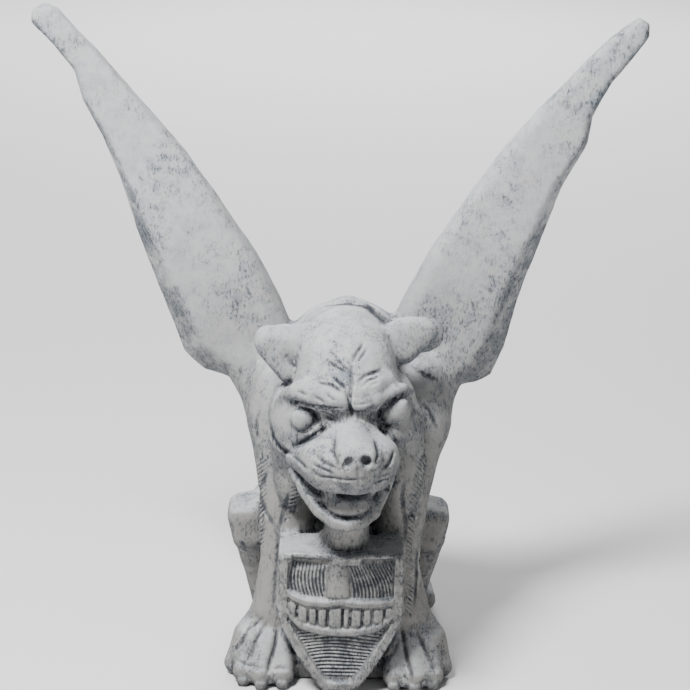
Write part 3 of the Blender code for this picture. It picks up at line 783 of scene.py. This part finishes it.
def well_joined(values):
    """Fills the cells where stone meets stone only across a diagonal, so that each cell holds one piece of
    surface."""
    values = values.copy()
    for _ in range(12):
        inside = values < 0
        fill = np.zeros_like(inside)
        for u, v in ((0, 1), (1, 2), (0, 2)):
            shape = [slice(None)] * 3

            def part(su, sv):
                place = list(shape)
                place[u] = slice(su, values.shape[u] - 1 + su)
                place[v] = slice(sv, values.shape[v] - 1 + sv)
                return tuple(place)

            a, b, c, d = (inside[part(*s)] for s in ((0, 0), (1, 1), (1, 0), (0, 1)))
            odd = (a & b & ~c & ~d) | (~a & ~b & c & d)
            for s in ((0, 0), (1, 1), (1, 0), (0, 1)):
                fill[part(*s)] |= odd
        shifts = np.ndindex(2, 2, 2)
        ends = [tuple(slice(s, n - 1 + s) for s, n in zip(shift, values.shape)) for shift in shifts]
        full = sum(inside[e].astype(np.int8) for e in ends)
        for k in range(4):
            both = inside[ends[k]] & inside[ends[7 - k]] & (full == 2)
            neither = ~inside[ends[k]] & ~inside[ends[7 - k]] & (full == 6)
            for e in ends:
                fill[e] |= both | neither
        fill &= ~inside
        if not fill.any():
            return values
        values[fill] = -0.05
    return values


def slope(stone, points, step=0.4):
    """The field's value and its direction of steepest rise, from four readings at the corners of a small
    tetrahedron."""
    ways = np.array([(1, -1, -1), (-1, -1, 1), (-1, 1, -1), (1, 1, 1)], float)
    readings = [stone.distance(points + step * way) for way in ways]
    rise = sum(reading[:, None] * way for reading, way in zip(readings, ways)) / (4 * step)
    return sum(readings) / 4, rise


def settle(stone, points, rounds=2, cap=2.5):
    """Moves each corner along the field's slope on to its zero level: back by value times slope over slope
    squared, and by no more than the cap in one round."""
    for _ in range(rounds):
        value, rise = slope(stone, points)
        move = -(value / np.maximum((rise**2).sum(1), 0.05))[:, None] * rise
        length = np.linalg.norm(move, axis=1)
        points = points + move * np.minimum(1, cap / np.maximum(length, 1e-9))[:, None]
        points[:, 2] = np.maximum(points[:, 2], 0)
    return points


def edges_of(triangles):
    """Each edge once, and for each triangle the numbers of its three edges."""
    ends = np.sort(triangles[:, [0, 1, 1, 2, 2, 0]].reshape(-1, 2), axis=1)
    key = ends[:, 0].astype(np.int64) * (triangles.max() + 1) + ends[:, 1]
    _, first, back = np.unique(key, return_index=True, return_inverse=True)
    return ends[first], back.reshape(-1, 3)


def relax(stone, points, triangles, rounds=2):
    """Evens out the net: each corner moves half way to the mean of its neighbours, and then back on to the
    surface."""
    edges, _ = edges_of(triangles)
    for _ in range(rounds):
        count = np.bincount(edges.ravel(), minlength=len(points))
        mean = np.zeros_like(points)
        for k in range(3):
            mean[:, k] = np.bincount(edges[:, 0], points[edges[:, 1], k], len(points))
            mean[:, k] += np.bincount(edges[:, 1], points[edges[:, 0], k], len(points))
        mean /= np.maximum(count, 1)[:, None]
        points = settle(stone, points + 0.5 * (mean - points), rounds=1)
    return points


def split_long(stone, points, triangles):
    """Splits each edge that is longer than wanted there, and each triangle by which of its edges are
    split."""
    edges, of_triangle = edges_of(triangles)
    middle = points[edges].mean(1)
    length = np.linalg.norm(points[edges[:, 0]] - points[edges[:, 1]], axis=1)
    long = length > wanted_edge(stone, middle)
    number = np.where(long, len(points) + np.cumsum(long) - 1, -1)
    cut = number[of_triangle]
    split = (cut >= 0).sum(1)
    made = [triangles[split == 0]]
    for turn in range(3):
        t, m = np.roll(triangles, -turn, 1), np.roll(cut, -turn, 1)
        one = (split == 1) & (m[:, 0] >= 0)
        a, b, c, ab = t[one, 0], t[one, 1], t[one, 2], m[one, 0]
        made += [np.stack((a, ab, c), 1), np.stack((ab, b, c), 1)]
        two = (split == 2) & (m[:, 2] < 0)
        a, b, c, ab, bc = t[two, 0], t[two, 1], t[two, 2], m[two, 0], m[two, 1]
        made += [np.stack((a, ab, c), 1), np.stack((ab, bc, c), 1), np.stack((ab, b, bc), 1)]
    t, m = triangles[split == 3], cut[split == 3]
    made += [np.stack((t[:, 0], m[:, 0], m[:, 2]), 1), np.stack((m[:, 0], t[:, 1], m[:, 1]), 1)]
    made += [np.stack((m[:, 2], m[:, 1], t[:, 2]), 1), m]
    return np.concatenate((points, middle[long])), np.concatenate(made)


ZONE_EDGES = (3.7, 2.5, 1.65)  # the longest edge in each carved zone, in mm
DRAWN_EDGE = 2.3               # near a drawn groove
PLAIN_EDGE = 12.0              # everywhere else


def carved_zones(places):
    """Masks over places: the head, the paws and the coat on the shins; the face and the mask; the tool
    marks."""
    x, y, z = places.T
    off = np.abs(x - SHIELD_MIDDLE)
    head = (y < -95) & (z > 190) & (z < 385) & (np.abs(x - 5) < 84)
    paws = (y < -100) & (z < 62) & (z > 1.5)
    coat = (y < -40) & (z > 62) & (z < 245) & (np.abs(np.abs(x) - 79) < 8)
    panel = (y < -146) & (z < 162) & (off < 58) & (z > 12 + 1.05 * off - 6)
    face = (y < -128) & (z > 204) & (z < 385) & (np.abs(x - 5) < 76)
    hatched = panel & (((z < 70) & (z > 20)) | ((z > 104) & (z < 150) & (np.abs(x) > 8)))
    return head | paws | coat, face | panel, hatched


def wanted_edge(stone, places):
    """The longest edge allowed at each place, in mm: less where the stone is carved, and least under the tool
    marks."""
    wanted = np.full(len(places), PLAIN_EDGE)
    for zone, length in zip(carved_zones(places), ZONE_EDGES):
        wanted[zone] = length
    near = np.flatnonzero((places[:, 1] < -40) & (wanted > DRAWN_EDGE))
    drawn = stone.grooves(places[near].astype(np.float32), plain=True)
    wanted[near[drawn > 0.8]] = DRAWN_EDGE
    return wanted


def thin_plain(points, triangles, share):
    """Takes corners out of the plain zones, where the stone is flattest first, until the share is left."""
    made = put_mesh("thinned", points, triangles)
    group = made.vertex_groups.new(name="plain")
    group.add(np.flatnonzero(~np.any(carved_zones(points), axis=0)).tolist(), 1.0, "REPLACE")
    thin = made.modifiers.new("thin", "DECIMATE")
    thin.ratio, thin.vertex_group = share, group.name
    mesh = made.evaluated_get(bpy.context.evaluated_depsgraph_get()).to_mesh()
    places = np.empty(3 * len(mesh.vertices), np.float32)
    mesh.vertices.foreach_get("co", places)
    corners = np.empty(len(mesh.loops), np.int32)
    mesh.loops.foreach_get("vertex_index", corners)
    old = made.data
    bpy.data.objects.remove(made)
    bpy.data.meshes.remove(old)
    return places.reshape(-1, 3).astype(float), corners.reshape(-1, 3)


def occlusion(stone, points, normals, reaches):
    """How occluded each corner is, 0 to 1: over a few reaches r, the mean share of r that the field
    falls short of at r out from the surface. The material paints shade by it, and in creases stain as well."""
    short = [1 - stone.distance(points + reach * normals) / reach for reach in reaches]
    return np.clip(np.mean([np.clip(each, 0, 1) for each in short], axis=0), 0, 1)


def worn(stone, points, normals, reach):
    """How much each corner stands out as an edge, 0 to 1: the share of the reach that the field falls
    short of at the reach under the surface."""
    return np.clip(1 + stone.distance(points - reach * normals) / reach, 0, 1)


def put_mesh(name, points, faces):
    """A mesh object at the origin from whole arrays of corners and faces."""
    mesh = bpy.data.meshes.new(name)
    mesh.from_pydata([], [], [])
    mesh.vertices.add(len(points))
    mesh.vertices.foreach_set("co", points.astype(np.float32).ravel())
    mesh.loops.add(faces.size)
    mesh.loops.foreach_set("vertex_index", faces.astype(np.int32).ravel())
    mesh.polygons.add(len(faces))
    mesh.polygons.foreach_set("loop_start", np.arange(0, faces.size, faces.shape[1], dtype=np.int32))
    mesh.update(calc_edges=True)
    mesh.validate()
    made = bpy.data.objects.new(name, mesh)
    bpy.context.scene.collection.objects.link(made)
    return made


class GargoyleSizes(bpy.types.PropertyGroup):
    """Sizes of the figure"""

    height: FloatProperty(
        name="Height", description="From the ground to the tips of the wings", default=CAD_TOP, unit="LENGTH"
    )
    wing_root: FloatProperty(name="Wing root", description="Thickness at the shoulder, in mm", default=50.0)
    wing_tip: FloatProperty(name="Wing tip", description="Thickness at the tip, in mm", default=19.0)
    shield_width: FloatProperty(name="Shield width", description="In mm", default=130.0)
    shield_height: FloatProperty(name="Shield height", description="In mm", default=152.0)
    rim_width: FloatProperty(name="Border", description="Width of the shield's border, in mm", default=10.0)
    rim_relief: FloatProperty(
        name="Relief", description="How far the border stands out of the panel, in mm", default=5.0
    )
    mark_pitch: FloatProperty(
        name="Tool marks", description="Spacing of the grooves on the shield, in mm", default=3.7
    )
    cell: FloatProperty(name="Cell", description="Grid that the stone is read on, in mm", default=4.8)
    plain_share: FloatProperty(
        name="Plain share", description="Share of the net left once the plain zones are thinned", default=0.44
    )


class GargoyleFinish(bpy.types.PropertyGroup):
    """Colours of the weathered stone and of the shade painted on it"""

    pale: FloatVectorProperty(
        name="Pale", description="Bare stone", default=(0.56, 0.57, 0.58),
        subtype="COLOR", min=0, max=1,
    )
    edge: FloatVectorProperty(
        name="Edge", description="Stone worn on its edges", default=(0.70, 0.70, 0.69),
        subtype="COLOR", min=0, max=1,
    )
    wash: FloatVectorProperty(
        name="Wash", description="Blue-grey wash left on the stone", default=(0.22, 0.265, 0.325),
        subtype="COLOR", min=0, max=1,
    )
    # Stain and painted shade: this dark colour is real stain in pits and flecks, and also paints shade in
    # creases, grooves, sheltered places and on sides that look out and down.
    stain_and_shade: FloatVectorProperty(
        name="Stain", description="Dark stain in creases and pits", default=(0.045, 0.05, 0.06),
        subtype="COLOR", min=0, max=1,
    )
    warm: FloatVectorProperty(
        name="Warm", description="Faint earthy tint", default=(0.40, 0.37, 0.33),
        subtype="COLOR", min=0, max=1,
    )
    # Dust and painted shade: this earthy colour also stands for the shade on the lower body's upright sides.
    dust_and_shade: FloatVectorProperty(
        name="Dust", description="Earthy dust low on the figure", default=(0.195, 0.186, 0.172),
        subtype="COLOR", min=0, max=1,
    )
    wash_amount: FloatProperty(
        name="Wash amount", description="How much wash is left", default=0.5, min=0, max=1
    )
    pit_depth: FloatProperty(name="Pits", description="Depth of the pits", default=0.001, unit="LENGTH")


class GARGOYLE_OT_carve(bpy.types.Operator):
    """Models the whole figure as one closed piece of carved stone"""

    bl_idname = "gargoyle.carve"
    bl_label = "Carve the gargoyle"

    def execute(self, context):
        sizes = context.scene.gargoyle_sizes
        stone = Stone(sizes)
        points, quads = surface_net(stone, *FIELD_BOX, sizes.cell)
        triangles = np.concatenate((quads[:, [0, 1, 2]], quads[:, [0, 2, 3]]))
        points = settle(stone, points)
        points, triangles = thin_plain(points, triangles, sizes.plain_share)
        for _ in range(SPLITS):
            points, triangles = split_long(stone, points, triangles)
            points = settle(stone, points, rounds=1)
        points = relax(stone, points, triangles)
        points = settle(stone, points)
        made = put_mesh("gargoyle_stone", points * sizes.height / FULL_HEIGHT, triangles)
        made.data.shade_smooth()
        normals = np.empty(3 * len(points), np.float32)
        made.data.vertices.foreach_get("normal", normals)
        normals = normals.reshape(-1, 3)
        # Measures, in this order, for stain with painted shade in creases, painted shade in sheltered places,
        # pale worn edges, painted shade on sides that look out and down, faces that look up, and the drawn
        # grooves.
        for name, values in (
            ("crevice", occlusion(stone, points, normals, (1.6, 3.2))),
            ("occlusion", occlusion(stone, points, normals, (7.0, 16.0))),
            ("worn", worn(stone, points, normals, 3.0)),
            # How much a face looks out and down, which the material darkens as painted shade.
            ("lee", ease(0.75 * np.abs(normals[:, 0]) - normals[:, 2], 0.25, 1.0)),
            ("ledge", ease(normals[:, 2], 0.3, 0.85)),
            ("drawn", stone.drawn(points, normals, sizes)),
        ):
            layer = made.data.attributes.new(name, "FLOAT", "POINT")
            layer.data.foreach_set("value", values.astype(np.float32))
        made.data.materials.append(stone_material(context.scene.gargoyle_finish))
        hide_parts("gargoyle")
        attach(made, "root")
        return {"FINISHED"}


class Paint:
    """Adds shader nodes to a material, each fed with numbers, colours or other nodes' outputs."""

    def __init__(self, name):
        self.material = bpy.data.materials.new(name)
        self.material.use_nodes = True
        self.tree = self.material.node_tree
        self.shader = self.tree.nodes["Principled BSDF"]
        self.place = self.add("ShaderNodeTexCoord").outputs["Object"]

    def add(self, kind, fed=(), **settings):
        node = self.tree.nodes.new(kind)
        for name, value in settings.items():
            setattr(node, name, value)
        for socket, value in dict(fed).items():
            self.feed(node.inputs[socket], value)
        return node

    def feed(self, socket, value):
        if isinstance(value, bpy.types.NodeSocket):
            self.tree.links.new(value, socket)
        elif hasattr(socket.default_value, "__len__") and len(socket.default_value) == 4:
            socket.default_value = (*value, 1) if len(value) == 3 else value
        else:
            socket.default_value = value

    def attribute(self, name):
        return self.add("ShaderNodeAttribute", attribute_name=name).outputs["Fac"]

    def noise(self, scale, detail=4.0, roughness=0.55, place=None):
        fed = {"Vector": place or self.place, "Scale": scale, "Detail": detail, "Roughness": roughness}
        return self.add("ShaderNodeTexNoise", fed).outputs[0]

    def stretched(self, scale, turn):
        fed = {"Vector": self.place, "Scale": scale, "Rotation": turn}
        return self.add("ShaderNodeMapping", fed).outputs[0]

    def ease(self, value, low, high, start=0.0, end=1.0):
        fed = {"Value": value, "From Min": low, "From Max": high, "To Min": start, "To Max": end}
        return self.add("ShaderNodeMapRange", fed, interpolation_type="SMOOTHSTEP").outputs[0]

    def sum(self, *values):
        return self.fold("ADD", values)

    def product(self, *values):
        return self.fold("MULTIPLY", values)

    def largest(self, *values):
        return self.fold("MAXIMUM", values)

    def fold(self, operation, values):
        total = values[0]
        for value in values[1:]:
            total = self.add("ShaderNodeMath", {0: total, 1: value}, operation=operation).outputs[0]
        return total

    def mix(self, share, first, second):
        share = self.add("ShaderNodeClamp", {"Value": share}).outputs[0]
        node = self.add("ShaderNodeMix", data_type="RGBA")
        for socket, value in ((node.inputs[0], share), (node.inputs[6], first), (node.inputs[7], second)):
            self.feed(socket, value)
        return node.outputs[2]


def stone_material(finish):
    """Pale weathered cast stone, with shade painted into its colour.

    A brushed blue-grey wash is left in blotches and in hollows. Within it the stone is flecked by short
    strokes of two slants. Towards the ground, mostly on upright sides, a darker earthy colour stands for
    dust and for painted shade on the lower body. Dark stain lies in pits, and together with painted shade
    in creases and in the drawn grooves and tool marks. Painted shade also lies in sheltered places and on
    sides that look out and down, less on faces that look up. The stone is darker in a band along the
    ground, and edges are worn pale."""
    paint = Paint("weathered_cast_stone")
    names = ("crevice", "occlusion", "worn", "lee", "ledge", "drawn")
    crevice, shade, edge, lee, ledge, drawn = (paint.attribute(name) for name in names)
    broad = paint.noise(8.0, 4.0, 0.6)
    patch = paint.noise(24.0, 6.0, 0.68)
    mottle = paint.noise(75.0, 7.0, 0.75)
    grain = paint.noise(620.0, 3.0, 0.6)
    strokes = [
        paint.noise(430.0, 2.0, 0.5, paint.stretched((1.0, 0.8, 0.42), (0.2, slant, 0.1)))
        for slant in (0.6, -0.45)
    ]

    height = paint.add("ShaderNodeSeparateXYZ", {0: paint.place}).outputs[2]
    low = paint.ease(height, 0.52, 0.16)
    blotch = paint.sum(
        paint.product(broad, 0.45), paint.product(patch, 0.8), paint.product(mottle, 0.55),
        paint.product(shade, 0.22), paint.product(lee, 0.12), paint.product(low, 0.02),
    )
    less = 0.35 * finish.wash_amount
    left = paint.ease(blotch, 1.10 - less, 1.30 - less)
    dense = paint.ease(blotch, 1.00 - less, 1.24 - less)
    pits = paint.add("ShaderNodeTexVoronoi", {"Vector": paint.place, "Scale": 240.0})
    chosen = paint.add("ShaderNodeSeparateColor", {0: pits.outputs["Color"]}).outputs[0]
    size = paint.product(paint.ease(chosen, 0.7, 1.0, 0.0, 0.3), paint.sum(0.3, paint.product(dense, 0.7)))
    near = paint.add("ShaderNodeMath", {0: size, 1: pits.outputs["Distance"]}, operation="SUBTRACT").outputs[0]
    pit = paint.ease(near, -0.02, 0.10)
    struck = paint.ease(paint.largest(*strokes), 0.56, 0.66)
    fleck = paint.product(struck, paint.sum(0.06, paint.product(dense, 0.94)))

    colour = paint.mix(paint.product(paint.ease(patch, 0.42, 0.7), 0.3), finish.pale, finish.warm)
    colour = paint.mix(paint.product(paint.ease(mottle, 0.38, 0.64), 0.34), colour, finish.wash)
    colour = paint.mix(paint.product(left, 0.72), colour, finish.wash)
    # Darker earthy colour low on the figure, mostly on upright sides and less on faces that look up: dust, and
    # painted shade where the head and wings shade the lower body.
    colour = paint.mix(paint.product(low, paint.ease(ledge, 0.0, 1.0, 0.80, 0.16)), colour, finish.dust_and_shade)
    rubbed = paint.product(
        paint.ease(edge, 0.10, 0.40), paint.ease(mottle, 0.62, 0.38), paint.ease(low, 0.0, 1.0, 0.8, 0.45)
    )
    colour = paint.mix(rubbed, colour, finish.edge)
    brushed = paint.sum(paint.product(mottle, 0.6), paint.product(strokes[0], 0.4))
    streaked = paint.ease(brushed, 0.42, 0.58, 0.25, 1.0)
    # Stain and painted shade: dark stain with painted shade in creases, and painted shade in sheltered places
    # and on edges that look out and down, broken by brush streaks and weaker on faces that look up.
    deep = paint.sum(
        paint.ease(crevice, 0.06, 0.42), paint.product(paint.ease(shade, 0.25, 0.85), 0.62),
        paint.product(lee, edge, 0.6),
    )
    stain_and_shade_share = paint.product(deep, streaked, paint.ease(ledge, 0.0, 1.0, 0.9, 0.45))
    colour = paint.mix(stain_and_shade_share, colour, finish.stain_and_shade)
    # Dark stain and painted shade in the drawn grooves and tool marks.
    groove_stain_and_shade = paint.product(paint.ease(drawn, 0.15, 0.75), paint.ease(mottle, 0.40, 0.58, 0.55, 0.92))
    colour = paint.mix(groove_stain_and_shade, colour, finish.stain_and_shade)
    # Painted shade on sides that look out and down, broken up by the wash blotches.
    underside_shade = paint.product(lee, paint.ease(blotch, 0.80, 1.12), 0.45)
    colour = paint.mix(underside_shade, colour, finish.stain_and_shade)
    colour = paint.mix(paint.product(paint.largest(pit, fleck), 0.68), colour, finish.stain_and_shade)
    # Darker in a band 22 mm up from the ground, broken up by the mottle.
    ground_band = paint.product(paint.ease(height, 0.022, 0.0), paint.ease(mottle, 0.35, 0.6, 0.3, 1.0))
    colour = paint.mix(paint.product(ground_band, 0.7), colour, finish.stain_and_shade)
    paint.feed(paint.shader.inputs["Base Color"], colour)

    paint.feed(paint.shader.inputs["Roughness"], paint.ease(grain, 0.3, 0.7, 0.82, 0.97))
    paint.feed(paint.shader.inputs["Specular IOR Level"], 0.25)
    relief = paint.sum(
        paint.product(grain, 0.3), paint.product(mottle, 0.9),
        paint.product(fleck, -0.35), paint.product(pit, -0.9),
    )
    bump = paint.add("ShaderNodeBump", {"Height": relief, "Strength": 0.9, "Distance": finish.pit_depth})
    paint.feed(paint.shader.inputs["Normal"], bump.outputs[0])
    return paint.material


FLOOR_REACH = 12.0             # metres from the middle of the floor to its sides
FIGURE_MIDDLE = Vector((0, 0, 0.334))
CAMERA_AWAY = 2.4              # metres from the figure's middle
CAMERA_ROLL = radians(1.2)
PICTURE = 690                  # the photograph's side, in pixels
FOCAL = 2232                   # the lens, in the same pixels
SENSOR = 36.0

# Each light: its place, its size, its power and the place it is aimed at
LIGHTS = {
    "key": ((-0.75, -0.95, 2.25), 0.6, 104, (0, 0, 0.33)),
    "fill": ((2.0, -2.0, 1.0), 1.6, 3, (0, 0, 0.33)),
    "back": ((0.4, 2.2, 2.2), 1.6, 10, (0, 0, 0.33)),
    "backdrop": ((0.0, 4.4, 2.6), 2.4, 190, (0, 2.8, 0)),
}


class GARGOYLE_OT_stage(bpy.types.Operator):
    """Sets up a plain pale floor, soft lights and the camera"""

    bl_idname = "gargoyle.stage"
    bl_label = "Set the stage"

    def execute(self, context):
        scene = context.scene
        corners = FLOOR_REACH * np.array([(-1, -1, 0), (1, -1, 0), (1, 1, 0), (-1, 1, 0)], float)
        floor = put_mesh("floor", corners, np.array([[0, 1, 2, 3]]))
        paint = bpy.data.materials.new("pale_floor")
        paint.use_nodes = True
        shader = paint.node_tree.nodes["Principled BSDF"]
        shader.inputs["Base Color"].default_value = (0.88, 0.88, 0.88, 1)
        shader.inputs["Roughness"].default_value = 0.9
        floor.data.materials.append(paint)
        world = bpy.data.worlds.new("studio_air")
        world.use_nodes = True
        air = world.node_tree.nodes["Background"]
        air.inputs["Color"].default_value = (1, 1, 1, 1)
        air.inputs["Strength"].default_value = 0.16
        scene.world = world
        for name, (place, size, power, aim) in LIGHTS.items():
            light = bpy.data.lights.new(name, "AREA")
            light.size, light.energy = size, power
            lamp = bpy.data.objects.new(name, light)
            scene.collection.objects.link(lamp)
            lamp.location = place
            lamp.rotation_mode = "QUATERNION"
            lamp.rotation_quaternion = (Vector(place) - Vector(aim)).to_track_quat("Z", "Y")
        away = Vector((0, -cos(CAMERA_PITCH), sin(CAMERA_PITCH)))
        lens = bpy.data.cameras.new("camera")
        lens.sensor_width, lens.lens, lens.shift_x = SENSOR, SENSOR * FOCAL / PICTURE, 2 / PICTURE
        camera = bpy.data.objects.new("camera", lens)
        scene.collection.objects.link(camera)
        camera.location = FIGURE_MIDDLE + away * CAMERA_AWAY
        camera.rotation_mode = "QUATERNION"
        tilt = Matrix.Rotation(CAMERA_ROLL, 3, "Z").to_quaternion()
        camera.rotation_quaternion = away.to_track_quat("Z", "Y") @ tilt
        scene.camera = camera
        return {"FINISHED"}


class GARGOYLE_PT_panel(bpy.types.Panel):
    """Lists the sizes, the colours and the steps"""

    bl_idname = "GARGOYLE_PT_panel"
    bl_label = "Stone gargoyle"
    bl_space_type = "VIEW_3D"
    bl_region_type = "UI"
    bl_category = "Gargoyle"

    def draw(self, context):
        for group in (context.scene.gargoyle_sizes, context.scene.gargoyle_finish):
            for name in group.__annotations__:
                self.layout.prop(group, name)
        self.layout.operator("gargoyle.carve")
        self.layout.operator("gargoyle.stage")


CLASSES = (GargoyleSizes, GargoyleFinish, GARGOYLE_OT_carve, GARGOYLE_OT_stage, GARGOYLE_PT_panel)


def register():
    for kind in CLASSES:
        bpy.utils.register_class(kind)
    bpy.types.Scene.gargoyle_sizes = PointerProperty(type=GargoyleSizes)
    bpy.types.Scene.gargoyle_finish = PointerProperty(type=GargoyleFinish)


def unregister():
    del bpy.types.Scene.gargoyle_finish
    del bpy.types.Scene.gargoyle_sizes
    for kind in reversed(CLASSES):
        bpy.utils.unregister_class(kind)


def main():
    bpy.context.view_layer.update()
    register()
    bpy.ops.gargoyle.carve()
    bpy.ops.gargoyle.stage()


if __name__ == "__main__":
    main()
